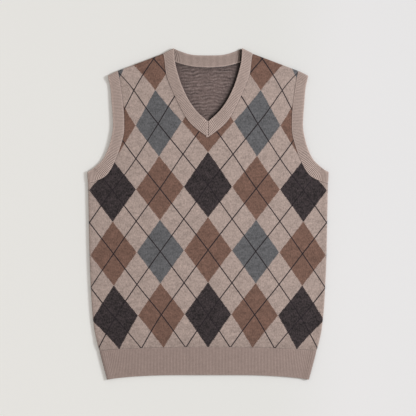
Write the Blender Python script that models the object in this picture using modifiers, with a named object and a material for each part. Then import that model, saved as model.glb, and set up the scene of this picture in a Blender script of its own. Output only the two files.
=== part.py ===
"""A knitted sweater vest with a V neck, laid flat with its front on top.

Units are metres and +Z is up. The cloth rests on z = 0 with the origin under its middle: +X is
the wearer's left and +Y runs up to the neck. The two halves match, so every outline gives the
wearer's left half. The vest has seven pieces: a front and a back panel, the front and back of
the hem band, the neckband and two armhole bands.
"""

import math

import bmesh
import bpy
import numpy as np

MM = 0.001

# Cloth and seams
WALL = 2.0 * MM  # the panels, and the bands between their ribs
SEAM_GAP = 0.3 * MM
RIB_PITCH = 3.0 * MM  # one knit and one purl column
RIB_RAISE = 0.5 * MM
BAND_CROWN = 0.3 * MM  # how far the middle of a band stands above its two edges
FRONT_TOP = 2 * WALL + SEAM_GAP  # upper face of the front where it lies on the back

# Where the cloth turns from the front to the back: outer radii, and how it settles
FOLD = 3.2 * MM
NECK_FOLD = 4.4 * MM  # at the neckband's free edge, which stands up a little
ARM_FOLD = 3.5 * MM
PANEL_CURL = 2.6 * MM  # a panel's own rounding, each side of the seam in the fold
SETTLE = 14 * MM  # run over which the front sinks from a fold on to the back
NECK_SETTLE = 70 * MM
HEM_BLOUSE = 1.0 * MM  # how far the front puffs out just above the hem band
HEM_BLOUSE_RUN = 30 * MM

# Outlines of the wearer's left half as (x, y) in mm, seen from above
SIDE = [(226, -284), (230.4, -268), (236, -243), (240.9, -200), (244.6, -137), (246.8, -75),
        (248, -12), (248.8, 30), (249.3, 63.8)]
ARM_SEAM = [(249.3, 63.8), (234, 67.8), (209.5, 82), (191, 115), (175.9, 161.2), (173.9, 193),
            (175.8, 224.8), (182, 270), (187, 298)]
ARM_EDGE = [(250.6, 87.4), (240.2, 93.6), (219.8, 112.3), (207.3, 137.3), (200.5, 162),
            (197.4, 187), (200.8, 237), (203, 262), (208.3, 286.8)]
NECK_SEAM = [(0, 159.3), (19, 173), (36.2, 188), (50, 207), (71.5, 250), (86.6, 288),
             (90.8, 318), (92.4, 328.5), (94, 333.2)]
NECK_EDGE = [(0, 192.4), (20.5, 211), (37.5, 233), (50, 257), (59, 280), (68.5, 315),
             (70.9, 344.4)]
BACK_SEAM = [(0, 304.9), (35, 307.5), (68.6, 316.2), (84, 325), (94, 333.2)]
BACK_EDGE = [(0, 330.1), (25, 330.7), (41.6, 333.4), (58.2, 339), (70.9, 344.4)]
HEM_SEAM = [(0, -276.2), (110, -277.6), (190, -281.2), (226, -284)]
HEM_EDGE = [(0, -334.9), (91, -335.2), (150, -337.8), (190, -341.5), (209.9, -344.5)]
UNDERARM_LEVEL = 60 * MM  # on the centre line, across from the foot of the armhole

# Rows of each panel from the hem up, and its columns from the middle to the side
HEM_RUN = 30 * MM
HEM_ROWS = 3
BODY_ROWS = 7
CHEST_ROWS = 8
YOKE_ROWS = 9
BACK_NECK_ROWS = 7  # the topmost rows of the back, which end on its neck seam
FRONT_COLUMNS = 5
BACK_COLUMNS = 3

# Columns of the bands
HALF_RIBS_PER_FOLD = 8  # round the half turn at a shoulder or an underarm
HALF_RIBS_PER_SIDE = 4  # round the quarter turn at a side of the hem
PLAIN_STEP = 8  # a plain face keeps one column in eight
BACK_BAND_COLUMNS = 14

TAUPE = (0.36, 0.27, 0.24, 1.0)
TAUPE_RIB = (0.33, 0.25, 0.22, 1.0)
WOOL_ROUGHNESS = 0.9
SHARP_ANGLE = math.radians(33)  # keeps the ribs crisp and the folds smooth


# ---------------------------------------------------------------- curves seen from above

def run_lengths(curve):
    steps = np.linalg.norm(np.diff(curve, axis=0), axis=1)
    return np.concatenate([[0.0], np.cumsum(steps)])


def smooth(points_mm, steps=10):
    """A Catmull-Rom curve through the points, as a fine polyline in metres."""
    p = np.array(points_mm, float) * MM
    p = np.vstack([2 * p[0] - p[1], p, 2 * p[-1] - p[-2]])
    t = np.linspace(0, 1, steps, endpoint=False)[:, None]
    spans = [
        b + 0.5 * t * ((c - a) + t * (2 * a - 5 * b + 4 * c - d + t * (3 * b - a - 3 * c + d)))
        for a, b, c, d in zip(p, p[1:], p[2:], p[3:])
    ]
    return np.vstack(spans + [p[-2:-1]])


def at(curve, lengths):
    """Points at these lengths along a curve, which runs straight on past its far end."""
    run = run_lengths(curve)
    lengths = np.asarray(lengths, float)
    points = np.column_stack([np.interp(lengths, run, curve[:, k]) for k in range(2)])
    direction = (curve[-1] - curve[-2]) / (run[-1] - run[-2])
    return points + np.clip(lengths - run[-1], 0, None)[:, None] * direction


def length(curve):
    return run_lengths(curve)[-1]


def beside(curve, distance):
    """The curve moved sideways: to its left where the distance is positive."""
    along = np.gradient(curve, axis=0)
    along /= np.linalg.norm(along, axis=1)[:, None]
    return curve + distance * np.column_stack([-along[:, 1], along[:, 0]])


def stations(stops, counts):
    """Lengths from stop to stop, each stretch split into its count of equal rows."""
    runs = [np.linspace(a, b, n, endpoint=False) for a, b, n in zip(stops, stops[1:], counts)]
    return np.concatenate(runs + [[stops[-1]]])


def settle(distance, run=SETTLE):
    """1 at a fold, easing to 0 a run away from it."""
    return 0.5 + 0.5 * np.cos(math.pi * np.clip(distance / run, 0, 1))


# ---------------------------------------------------------------- panels

# A panel rounds over the fold in 30 degree steps and ends in a short upright stretch, whose
# edge faces the other panel's across the seam gap.
CURL_ANGLES = np.radians([90, 60, 30, 0])
CURL_INSET = np.append(PANEL_CURL * (1 - np.cos(CURL_ANGLES)), 0.0)
CURL_DROP = np.append(PANEL_CURL * (1 - np.sin(CURL_ANGLES)), FOLD - SEAM_GAP / 2)
RIM_INSET = PANEL_CURL + np.array([SETTLE, SETTLE / 2])
ARM_COLUMN = 1 - len(CURL_DROP)  # above the foot of the armhole a row ends before this column


def outer_path():
    """Side, then armhole seam, from the hem to the shoulder, at the rows of both panels."""
    side, arm = smooth(SIDE), smooth(ARM_SEAM)
    side_at = stations([0, HEM_RUN, length(side)], [HEM_ROWS, BODY_ROWS])
    top = length(arm)
    chest_top = run_lengths(arm)[np.argmin(np.abs(arm[:, 1] - NECK_SEAM[0][1] * MM))]
    arm_at = stations([0, chest_top, top - RIM_INSET[0]], [CHEST_ROWS, YOKE_ROWS])[1:]
    rim_at = top - np.concatenate([RIM_INSET[1:], CURL_INSET])
    return np.vstack([at(side, side_at), at(arm, arm_at), at(arm, rim_at)])


CORNER_ROW = HEM_ROWS + BODY_ROWS  # the row that ends at the foot of the armhole
TIP_ROW = CORNER_ROW + CHEST_ROWS  # the row level with the point of the V
RIM_ROW = TIP_ROW + YOKE_ROWS


def inner_path(seam_points, seam_row):
    """Centre line up to a row, then the neck seam, at the same rows as the outer path."""
    seam = smooth(seam_points)
    foot = HEM_SEAM[0][1] * MM
    stops = [foot, foot + HEM_RUN, UNDERARM_LEVEL, seam[0, 1]]
    centre_y = stations(stops, [HEM_ROWS, BODY_ROWS, seam_row - CORNER_ROW])[:-1]
    centre = np.column_stack([np.zeros_like(centre_y), centre_y])
    top = length(seam)
    seam_at = stations([0, top - RIM_INSET[0]], [RIM_ROW - seam_row])
    rim_at = top - np.concatenate([RIM_INSET[1:], CURL_INSET])
    return np.vstack([centre, at(seam, seam_at), at(seam, rim_at)])


def fold_line():
    """Side and shoulder as one set of points, to measure how near a fold the cloth is."""
    shoulder = smooth([NECK_EDGE[-1], NECK_SEAM[-1], ARM_SEAM[-1], ARM_EDGE[-1]])
    side = smooth([HEM_EDGE[-1]] + SIDE + [ARM_EDGE[0]])
    lines = [at(line, np.arange(0, length(line), 2 * MM)) for line in (side, shoulder)]
    return np.vstack(lines)


def front_height(plan):
    """Upper face of the front: raised beside the folds and puffed just above the hem band."""
    away = np.linalg.norm(plan[..., None, :] - fold_line(), axis=-1).min(axis=-1)
    lift = (2 * FOLD - FRONT_TOP) * settle(away - PANEL_CURL)
    hem = smooth(HEM_SEAM)
    above_hem = plan[..., 1] - np.interp(plan[..., 0], hem[:, 0], hem[:, 1])
    puff = np.sin(math.pi * np.clip(above_hem / HEM_BLOUSE_RUN, 0, 1)) ** 2
    return FRONT_TOP + lift + HEM_BLOUSE * puff


def panel_plan(inner, outer, columns):
    """Rows drawn straight from inner to outer path; the last columns sit at set insets.

    Above the foot of the armhole the curled columns are left out of use, and the first of
    them runs up the armhole seam.
    """
    across = outer - inner
    width = np.linalg.norm(across, axis=1)
    inset = np.tile(np.concatenate([RIM_INSET, CURL_INSET]), (len(inner), 1))
    inset[CORNER_ROW + 1 :, len(RIM_INSET) :] = 0
    rim = 1 - inset / width[:, None]
    share = np.hstack([rim[:, :1] * np.linspace(0, 1, columns, endpoint=False), rim])
    plan = inner[:, None] + share[..., None] * across[:, None]
    # The rows nearest the hem follow its curve.
    hem = smooth(HEM_SEAM)
    bow = np.interp(plan[..., 0], hem[:, 0], hem[:, 1]) - np.interp(
        plan[..., 0], hem[[0, -1], 0], hem[[0, -1], 1]
    )
    fade = np.clip(1 - np.arange(len(inner)) / HEM_ROWS, 0, 1)
    plan[..., 1] += bow * fade[:, None]
    return plan


def panel(name, plan, on_top, material):
    """An open sheet of outer points, mirrored over the centre line and given its wall."""
    drop = np.zeros(plan.shape[:2])
    drop[: CORNER_ROW + 1, -len(CURL_DROP) :] = CURL_DROP
    drop[-len(CURL_DROP) :] = np.maximum(drop[-len(CURL_DROP) :], CURL_DROP[:, None])
    height = front_height(plan) - drop if on_top else drop
    points = np.concatenate([plan, height[..., None]], axis=-1)
    bm = bmesh.new()
    used = [row if i <= CORNER_ROW else row[:ARM_COLUMN] for i, row in enumerate(points)]
    verts = [[bm.verts.new(p) for p in row] for row in used]
    for low, high in zip(verts, verts[1:]):
        for a, b, c, d in zip(low, low[1:], high[1:], high):
            bm.faces.new((a, b, c, d) if on_top else (d, c, b, a))
    piece = new_object(name, bm, material)
    add_mirror(piece)
    wall = piece.modifiers.new("wall", "SOLIDIFY")
    wall.thickness = WALL
    wall.offset = -1
    wall.use_even_offset = True
    wall.use_quality_normals = True
    return piece


# ---------------------------------------------------------------- bands

def straight_run(curve, lengths, height):
    """Points on a curve at these lengths and heights."""
    return np.column_stack([at(curve, lengths), np.broadcast_to(height, len(lengths))])


def turn(top, under, radius, angles, depth):
    """Points round a fold on which both curves end: 0 is its top and pi its underside.

    The arc has the fold's radius less a depth below the outer face, and is carried back from
    the curves' ends by its inset, so it slides from the top curve to the under curve.
    """
    reach = radius - depth
    inset = radius - reach * np.sin(angles)
    share = settle(math.pi * 0.75 - angles, math.pi / 2)[:, None]
    plan = (1 - share) * at(top, length(top) - inset) + share * at(under, length(under) - inset)
    return np.column_stack([plan, radius + reach * np.cos(angles)])


def between(seam, edge):
    """Three rows of points from one long edge of a band to the other."""
    return np.stack([seam, (seam + edge) / 2, edge], axis=1)


def rib_count(seam, edge):
    """An even number of half ribs along a band's middle."""
    return 2 * round((length(seam) + length(edge)) / 2 / RIB_PITCH)


def ribs(count, ribbed):
    """Height of each column over the plain face: every second one is a crest."""
    crest = np.arange(count) % 2 == 1
    return RIB_RAISE * (crest & ribbed)


def zip_edges(upper, lower):
    """Triangles between two lines of (column, vertex), each walked in column order."""
    i = j = 0
    while i < len(upper) - 1 or j < len(lower) - 1:
        upper_next = upper[i + 1][0] if i < len(upper) - 1 else math.inf
        lower_next = lower[j + 1][0] if j < len(lower) - 1 else math.inf
        if upper_next <= lower_next:
            yield upper[i][1], lower[j][1], upper[i + 1][1]
            i += 1
        else:
            yield upper[i][1], lower[j][1], lower[j + 1][1]
            j += 1


def add_face_strips(bm, lines, outward):
    for (_, line), (_, following) in zip(lines, lines[1:]):
        for a, b, c, d in zip(line, following, following[1:], line[1:]):
            bm.faces.new((a, b, c, d) if outward else (d, c, b, a))


def close_end(bm, outer_line, inner_line, last):
    for a, b, c, d in zip(outer_line, outer_line[1:], inner_line[1:], inner_line):
        bm.faces.new((d, c, b, a) if last else (a, b, c, d))


def band(name, outer, inner, outer_kept, inner_kept, material, ends="", flipped=False):
    """A wall between an outer and an inner grid of points, columns by rows.

    Each face keeps only the columns it needs, a ribbed one all of them, and the two long edges
    are zipped together. Ends names the short ends to close: first, last or, for a ring, ring.
    """
    bm = bmesh.new()
    sides = []
    for grid, kept in ((outer, outer_kept), (inner, inner_kept)):
        if flipped:
            grid = grid * (-1, 1, 1)
        lines = [(c, [bm.verts.new(p) for p in grid[c]]) for c in np.flatnonzero(kept)]
        if ends == "ring":
            lines.append((len(kept), lines[0][1]))
        sides.append(lines)
    add_face_strips(bm, sides[0], outward=True)
    add_face_strips(bm, sides[1], outward=False)
    for row in (0, -1):
        edges = [[(c, line[row]) for c, line in side] for side in sides]
        for a, b, c in zip_edges(*edges):
            bm.faces.new((a, b, c) if row == 0 else (c, b, a))
    if "first" in ends:
        close_end(bm, sides[0][0][1], sides[1][0][1], last=False)
    if "last" in ends:
        close_end(bm, sides[0][-1][1], sides[1][-1][1], last=True)
    if flipped:
        bmesh.ops.reverse_faces(bm, faces=bm.faces)
    return new_object(name, bm, material)


def keep(count, dense):
    """Columns to keep: all the dense ones, and one in PLAIN_STEP of the others."""
    kept = dense | (np.arange(count) % PLAIN_STEP == 0)
    kept[[0, -1]] = True
    return kept


def neckband(material):
    """Half the neckband, from the mitre over the shoulder to the centre back, mirrored.

    The ribs stand on the face that shows: the outer one on the front, the inner one at the
    back, whose outer face rests flat.
    """
    tops = [beside(NECK_SEAM_LINE, SEAM_GAP), smooth(NECK_EDGE)]
    unders = [beside(BACK_SEAM_LINE, SEAM_GAP), smooth(BACK_EDGE)]
    for curve in tops:
        curve[:, 0] = np.maximum(curve[:, 0], SEAM_GAP / 2)
    for curve in unders:
        curve[0, 0] = 0
    front, turned, back = rib_count(*tops), HALF_RIBS_PER_FOLD, rib_count(*unders)
    count = front + turned + back + 1
    column = np.arange(count)
    angles = math.pi * np.arange(1, turned) / turned
    on_front, on_back = column <= front, column >= front + turned
    upper_fold = column <= front + turned // 2
    raised = (ribs(count, upper_fold), ribs(count, on_back))
    faces = []
    for outward in (True, False):
        lines = []
        for top, under, radius, run in zip(
            tops, unders, (FOLD, NECK_FOLD), (SETTLE, NECK_SETTLE)
        ):
            rib = raised[0] if outward else raised[1]
            depth = -rib if outward else WALL + rib
            along = np.linspace(0, length(top) - radius, front + 1)
            lift = (2 * radius - FRONT_TOP) * settle(along[-1] - along, run)
            over = straight_run(top, along, FRONT_TOP + lift - depth[: front + 1])
            bend = turn(top, under, radius, angles, depth[front + 1 : front + turned])
            along = np.linspace(length(under) - radius, 0, back + 1)
            beneath = straight_run(under, along, depth[front + turned :])
            lines.append(np.vstack([over, bend, beneath]))
        faces.append(between(*lines))
    faces[0][on_front, 1, 2] += BAND_CROWN
    in_fold = ~on_front & ~on_back
    piece = band(
        "neckband", *faces, keep(count, on_front | in_fold), keep(count, on_back | in_fold),
        material, ends="first",
    )
    add_mirror(piece)


def armhole_band(name, flipped, material):
    """A flattened ring: over the armhole from shoulder to underarm, and back beneath itself."""
    seam = beside(ARM_SEAM_LINE, -SEAM_GAP)
    curves = [seam, smooth(ARM_EDGE)]
    over_count, turned = rib_count(*curves), HALF_RIBS_PER_FOLD
    under_count = BACK_BAND_COLUMNS
    count = over_count + turned + under_count + turned
    column = np.arange(count)
    on_top = column <= over_count
    upper_fold = (column <= over_count + turned // 2) | (column >= count - turned // 2)
    rib = ribs(count, upper_fold)
    angles = math.pi * np.arange(1, turned) / turned
    faces = []
    for outward in (True, False):
        depth = -rib if outward else np.full(count, WALL)
        lines = []
        for curve, radius in zip(curves, (FOLD, ARM_FOLD)):
            down = curve[::-1]
            along = np.linspace(length(curve) - radius, radius, over_count + 1)
            near = np.minimum(along - radius, length(curve) - radius - along)
            lift = (2 * radius - FRONT_TOP) * settle(near)
            over = straight_run(curve, along, FRONT_TOP + lift - depth[: over_count + 1])
            first = over_count + 1
            foot = turn(down, down, radius, angles, depth[first : first + turned - 1])
            along = np.linspace(radius, length(curve) - radius, under_count + 1)
            under = straight_run(curve, along, 0.0 if outward else WALL)
            head = turn(curve, curve, radius, angles[::-1], depth[-(turned - 1) :])
            lines.append(np.vstack([over, foot, under, head]))
        faces.append(between(*lines))
    faces[0][on_top, 1, 2] += BAND_CROWN
    band(
        name, *faces, np.full(count, True), keep(count, ~on_top), material,
        ends="ring", flipped=flipped,
    )


def hem_band(name, seam, on_top, material):
    """Half of one side of the hem, from the centre to its side seam, mirrored.

    It ends a quarter turn down, or up, with its edge across the seam gap from the other's.
    """
    curves = [smooth(HEM_EDGE), beside(seam, -SEAM_GAP)]
    for curve in curves:
        curve[0, 0] = 0
    flat, turned = rib_count(*curves), HALF_RIBS_PER_SIDE
    count = flat + turned + 1
    column = np.arange(count)
    rib = ribs(count, on_top & (column < count - 1))
    angles = math.pi / 2 * np.arange(1, turned + 1) / turned
    faces = []
    for outward in (True, False):
        depth = -rib if outward else np.full(count, WALL)
        lines = []
        for curve in curves:
            along = np.linspace(0, length(curve) - FOLD, flat + 1)
            lift = (2 * FOLD - FRONT_TOP) * settle(along[-1] - along)
            height = FRONT_TOP + lift - depth[: flat + 1]
            over = straight_run(curve, along, height if on_top else depth[: flat + 1])
            bend = turn(curve, curve, FOLD, angles, depth[flat + 1 :])
            bend[-1, 2] += SEAM_GAP / 2
            if not on_top:
                bend[:, 2] = 2 * FOLD - bend[:, 2]
            lines.append(np.vstack([over, bend]))
        faces.append(between(*lines))
    flat_part = column <= flat
    if on_top:
        faces[0][flat_part, 1, 2] += BAND_CROWN
    dense = np.full(count, True) if on_top else ~flat_part
    piece = band(
        name, *faces, keep(count, dense), keep(count, ~flat_part), material,
        ends="last",
    )
    if not on_top:
        piece.data.flip_normals()
    add_mirror(piece)


# ---------------------------------------------------------------- scene

def clear_scene():
    for obj in list(bpy.data.objects):
        bpy.data.objects.remove(obj, do_unlink=True)


def new_collection(name):
    collection = bpy.data.collections.new(name)
    bpy.context.scene.collection.children.link(collection)
    return collection


def new_material(name, colour):
    material = bpy.data.materials.new(name)
    material.use_nodes = True
    surface = material.node_tree.nodes["Principled BSDF"]
    surface.inputs["Base Color"].default_value = colour
    surface.inputs["Roughness"].default_value = WOOL_ROUGHNESS
    surface.inputs["Metallic"].default_value = 0.0
    return material


def new_object(name, bm, material):
    mesh = bpy.data.meshes.new(name)
    bm.to_mesh(mesh)
    bm.free()
    mesh.materials.append(material)
    mesh.shade_smooth()
    mesh.set_sharp_from_angle(angle=SHARP_ANGLE)
    piece = bpy.data.objects.new(name, mesh)
    VEST.objects.link(piece)
    return piece


def add_mirror(piece):
    mirror = piece.modifiers.new("other half", "MIRROR")
    mirror.merge_threshold = 0.05 * MM


clear_scene()
VEST = new_collection("sweater_vest")
PANEL_KNIT = new_material("argyle jacquard", TAUPE)
RIB_KNIT = new_material("taupe rib", TAUPE_RIB)

PANEL_OUTER = outer_path()
FRONT_INNER = inner_path(NECK_SEAM, TIP_ROW)
BACK_SEAM_ROW = RIM_ROW - BACK_NECK_ROWS
BACK_INNER = inner_path(BACK_SEAM, BACK_SEAM_ROW)

# The seams as the panels' rows draw them, which the bands follow. Each ends on the fold.
ARM_CORNER = PANEL_OUTER[CORNER_ROW]
CURL_START = ARM_CORNER - (PANEL_CURL, 0)
ARM_SEAM_LINE = np.vstack([ARM_CORNER, CURL_START, PANEL_OUTER[CORNER_ROW + 1 : -1]])
NECK_SEAM_LINE = FRONT_INNER[TIP_ROW:-1]
BACK_SEAM_LINE = BACK_INNER[BACK_SEAM_ROW:-1]
FRONT_PLAN = panel_plan(FRONT_INNER, PANEL_OUTER, FRONT_COLUMNS)
BACK_PLAN = panel_plan(BACK_INNER, PANEL_OUTER, BACK_COLUMNS)

panel("front_panel", FRONT_PLAN, True, PANEL_KNIT)
panel("back_panel", BACK_PLAN, False, PANEL_KNIT)
hem_band("hem_band_front", FRONT_PLAN[0, :-1], True, RIB_KNIT)
hem_band("hem_band_back", BACK_PLAN[0, :-1], False, RIB_KNIT)
neckband(RIB_KNIT)
armhole_band("armhole_band_left", False, RIB_KNIT)
armhole_band("armhole_band_right", True, RIB_KNIT)
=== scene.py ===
"""An argyle sweater vest, knitted in fine wool and laid flat: its finished cloth.

Lengths are metres and +Z is up. +X is the wearer's left and +Y runs up to the neck. Each piece
of cloth is a thin closed skin worked out on a grid. The panels' grids hold stitch numbers as
their UVs and the bands' grids hold rib numbers, so that every pattern follows the knitting.
"""

from functools import partialmethod
import math

import bpy
import mathutils
import numpy as np
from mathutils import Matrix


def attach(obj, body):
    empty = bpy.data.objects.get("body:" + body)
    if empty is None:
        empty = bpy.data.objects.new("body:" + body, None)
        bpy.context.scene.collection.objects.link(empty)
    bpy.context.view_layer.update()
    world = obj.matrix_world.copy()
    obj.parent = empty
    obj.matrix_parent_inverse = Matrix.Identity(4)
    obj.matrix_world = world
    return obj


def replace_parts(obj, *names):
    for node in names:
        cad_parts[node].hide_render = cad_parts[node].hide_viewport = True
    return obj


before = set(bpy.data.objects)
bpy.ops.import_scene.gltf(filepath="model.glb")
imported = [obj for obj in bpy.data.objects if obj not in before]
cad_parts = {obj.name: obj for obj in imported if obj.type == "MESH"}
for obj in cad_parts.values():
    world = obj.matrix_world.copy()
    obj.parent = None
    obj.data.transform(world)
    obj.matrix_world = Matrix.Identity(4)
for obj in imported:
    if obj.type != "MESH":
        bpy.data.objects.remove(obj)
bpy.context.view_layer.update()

MM = 0.001
TINY = 1e-12  # keeps a divisor off zero

# ---- sizes of the cloth

WALL = 2.0 * MM
SEAM_GAP = 0.3 * MM
FRONT_TOP = 2 * WALL + SEAM_GAP  # upper face of the front where it lies on the back
RIB_PITCH = 3.15 * MM
RIB_RAISE = 0.55 * MM
RIB_SINK = 0.2 * MM  # purl columns lie this far below the plain face
BAND_CROWN = 0.3 * MM

FOLD = 3.2 * MM  # outer radii where the cloth turns from the front to the back
NECK_FOLD = 4.4 * MM
ARM_FOLD = 3.5 * MM
PANEL_CURL = 2.6 * MM  # a panel's own rounding, each side of the seam in the fold
SETTLE = 14 * MM  # run over which the front sinks from a fold on to the back
NECK_SETTLE = 70 * MM
HEM_BLOUSE = 1.0 * MM  # how far the front puffs out just above the hem band
HEM_BLOUSE_RUN = 30 * MM

# Outlines of the wearer's left half as (x, y) in mm, seen from above
SIDE = [(226, -284), (230.4, -268), (236, -243), (240.9, -200), (244.6, -137), (246.8, -75),
        (248, -12), (248.8, 30), (249.3, 63.8)]
ARM_SEAM = [(249.3, 63.8), (234, 67.8), (209.5, 82), (191, 115), (175.9, 161.2), (173.9, 193),
            (175.8, 224.8), (182, 270), (187, 298)]
ARM_EDGE = [(250.6, 87.4), (240.2, 93.6), (219.8, 112.3), (207.3, 137.3), (200.5, 162),
            (197.4, 187), (200.8, 237), (203, 262), (208.3, 286.8)]
NECK_SEAM = [(0, 159.3), (19, 173), (36.2, 188), (50, 207), (71.5, 250), (86.6, 288),
             (90.8, 318), (92.4, 328.5), (94, 333.2)]
NECK_EDGE = [(0, 192.4), (20.5, 211), (37.5, 233), (50, 257), (59, 280), (68.5, 315),
             (70.9, 344.4)]
BACK_SEAM = [(0, 304.9), (35, 307.5), (68.6, 316.2), (84, 325), (94, 333.2)]
BACK_EDGE = [(0, 330.1), (25, 330.7), (41.6, 333.4), (58.2, 339), (70.9, 344.4)]
HEM_SEAM = [(0, -276.2), (110, -277.6), (190, -281.2), (226, -284)]
HEM_EDGE = [(0, -334.9), (91, -335.2), (150, -337.8), (190, -341.5), (209.9, -344.5)]

# Levels of the panels' rows: each stretch between two levels is shared out evenly
HEM_LEVEL, ABOVE_HEM, UNDERARM, V_POINT, BACK_NECK, YOKE_TOP = 0, 3, 10, 18, 20, 27
HEM_RUN = 30 * MM  # up to the level above the hem
UNDERARM_Y = 60 * MM  # on the centre line, level with the foot of the armhole
RIM_RUN = 16.6 * MM  # from the last level to the shoulder fold
FRONT_ROWS = [(HEM_LEVEL, ABOVE_HEM, 12), (ABOVE_HEM, UNDERARM, 104), (UNDERARM, V_POINT, 42),
              (V_POINT, BACK_NECK, 14), (BACK_NECK, YOKE_TOP, 44)]
BACK_ROWS = [(HEM_LEVEL, ABOVE_HEM, 10), (ABOVE_HEM, UNDERARM, 44), (UNDERARM, V_POINT, 124),
             (V_POINT, BACK_NECK, 28), (BACK_NECK, YOKE_TOP, 24)]
RIM_ROWS = 6
COLUMNS = 78
CURL_STEPS = 7
CURL_FADE = 8 * MM  # of side seam, over which the curl opens out below the armhole
COLUMNS_PER_RIB = 6
BAND_ROWS = 12
HEM_BAND_ROWS = 16
EDGE_STEPS = 3  # points of the rounding along a band's edge
EDGE_ROUND = 1.1 * MM
LINE_STEP, LINE_PARTS = 2 * MM, 12  # between a line's points; it is gone through in parts
SHARP_ANGLE = math.radians(70)

# The knitting: stitches of one diamond, and how the cloth has stretched
DIAMOND_WALES = 50
DIAMOND_COURSES = 92
DIAMOND_HEIGHT = 135.6 * MM
FIRST_CENTRE = 60.7 * MM  # height of the middle diamond's centre below the V
DRAW = np.array([
    # height mm, diamond width mm, narrowing to the sides, droop per column, its growth
    (-345, 88.0, 0.00, -3.0, 2.0),
    (-279, 92.4, 0.00, -0.6, 0.7),
    (-212, 96.9, 0.00, -2.3, 1.8),
    (-146, 99.0, 0.01, 0.0, 0.8),
    (-79, 99.3, 0.01, 0.9, 0.5),
    (-12, 100.1, 0.01, 3.3, -0.5),
    (54, 100.3, 0.01, 4.8, -1.0),
    (120, 101.9, 0.04, 3.7, 0.4),
    (187, 103.6, 0.07, 4.4, -0.3),
    (258, 109.6, 0.16, 5.4, -2.1),
    (324, 113.0, 0.05, 4.7, -0.2),
    (350, 114.0, 0.05, 4.7, -0.2),
])
DROOP_UNIT = 2.08 * MM


# ---- curves seen from above

def run_lengths(curve):
    """Length of a curve up to each of its points."""
    steps = np.linalg.norm(np.diff(curve, axis=0), axis=1)
    return np.concatenate([[0.0], np.cumsum(steps)])


def smooth(points_mm, steps=24):
    """Catmull-Rom curve through the points, each span a cubic of its four nearest points."""
    p = np.array(points_mm, float) * MM
    p = np.vstack([2 * p[0] - p[1], p, 2 * p[-1] - p[-2]])
    t = np.linspace(0, 1, steps, endpoint=False)[:, None]
    spans = [
        b + 0.5 * t * ((c - a) + t * (2 * a - 5 * b + 4 * c - d + t * (3 * b - a - 3 * c + d)))
        for a, b, c, d in zip(p, p[1:], p[2:], p[3:])
    ]
    return np.vstack(spans + [p[-2:-1]])


def at(curve, lengths):
    """Points at these lengths along a curve, which runs straight on past its far end."""
    run = run_lengths(curve)
    lengths = np.asarray(lengths, float)
    points = np.stack([np.interp(lengths, run, curve[:, k]) for k in range(curve.shape[1])], -1)
    direction = (curve[-1] - curve[-2]) / (run[-1] - run[-2])
    return points + np.clip(lengths - run[-1], 0, None)[:, None] * direction


def length(curve):
    """Length of the whole curve."""
    return run_lengths(curve)[-1]


def beside(curve, distance):
    """The curve moved sideways: to its left where the distance is positive."""
    along = np.gradient(curve, axis=0)
    along /= np.linalg.norm(along, axis=1)[:, None]
    return curve + distance * np.column_stack([-along[:, 1], along[:, 0]])


def settle(distance, run=SETTLE):
    """1 at a fold, easing to 0 a run away from it along half a cosine wave."""
    return 0.5 + 0.5 * np.cos(math.pi * np.clip(distance / run, 0, 1))


def bell(distance, run):
    """1 at the middle, falling off as exp of minus the square of the distance over the run."""
    return np.exp(-(distance / run) ** 2)


def unit(vectors):
    """The vectors, each divided by its length."""
    return vectors / np.maximum(np.linalg.norm(vectors, axis=-1, keepdims=True), TINY)


def mirrored(points):
    """The points across the centre line, their x turned round."""
    return points * np.array([-1, 1, 1][: points.shape[-1]])


# ---- meshes

def grid_faces(index):
    """Quads between the neighbouring rows and columns of a grid of vertex numbers."""
    corners = [index[:-1, :-1], index[:-1, 1:], index[1:, 1:], index[1:, :-1]]
    return np.stack(corners, axis=-1).reshape(-1, 4)


def signed_volume(points, faces):
    """Sum over the faces' fans of each triangle's box product with the origin."""
    a, b, c, d = (points[faces[:, k]] for k in range(4))
    return (a * (np.cross(b, c) + np.cross(c, d))).sum() / 6


def in_scene(name, data):
    """A new object of the scene that shows the data."""
    thing = bpy.data.objects.new(name, data)
    bpy.context.scene.collection.objects.link(thing)
    return thing


def new_piece(name, points, faces, corner_uv, materials, tone, face_material=None, ends=()):
    """A smooth mesh of quads, turned outwards, with a UV for each corner; ends are its caps.

    The painted light is how much paler or darker than its yarn each point is painted, as a share.
    """
    if signed_volume(points, faces) < 0:
        faces, corner_uv = faces[:, ::-1], corner_uv[:, ::-1]
        ends = [end[::-1] for end in ends]
    used = np.unique(faces)
    number = np.zeros(len(points), int)
    number[used] = np.arange(len(used))
    mesh = bpy.data.meshes.new(name)
    polygons = number[faces].tolist() + [number[end].tolist() for end in ends]
    mesh.from_pydata(points[used].tolist(), [], polygons)
    uv = np.zeros((len(mesh.loops), 2))
    uv[: faces.size] = corner_uv.reshape(-1, 2)
    mesh.uv_layers.new(name="stitches").data.foreach_set("uv", uv.ravel())
    painted_lights = mesh.attributes.new("tone", "FLOAT", "POINT")
    painted_lights.data.foreach_set("value", tone.ravel()[used].astype(np.float32))
    for material in materials:
        mesh.materials.append(material)
    if face_material is not None:
        mesh.polygons.foreach_set("material_index", face_material)
    mesh.shade_smooth()
    mesh.set_sharp_from_angle(angle=SHARP_ANGLE)
    piece = in_scene(name, mesh)
    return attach(piece, "root")


def tube(name, section, uv, tone, material, ring=False):
    """A skin round closed sections, (columns, points round, 3), capped unless it is a ring."""
    columns, around = section.shape[:2]
    index = np.arange(columns * around).reshape(columns, around)
    ends = () if ring else (index[0, ::-1], index[-1])
    index = np.hstack([index, index[:, :1]])
    if ring:
        index = np.vstack([index, index[:1]])
    corners = grid_faces(np.arange(index.size).reshape(index.shape))
    corner_uv = uv.reshape(-1, 2)[corners]
    faces = grid_faces(index)
    return new_piece(name, section.reshape(-1, 3), faces, corner_uv, [material], tone, ends=ends)


# ---- the panels' rows and columns

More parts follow.
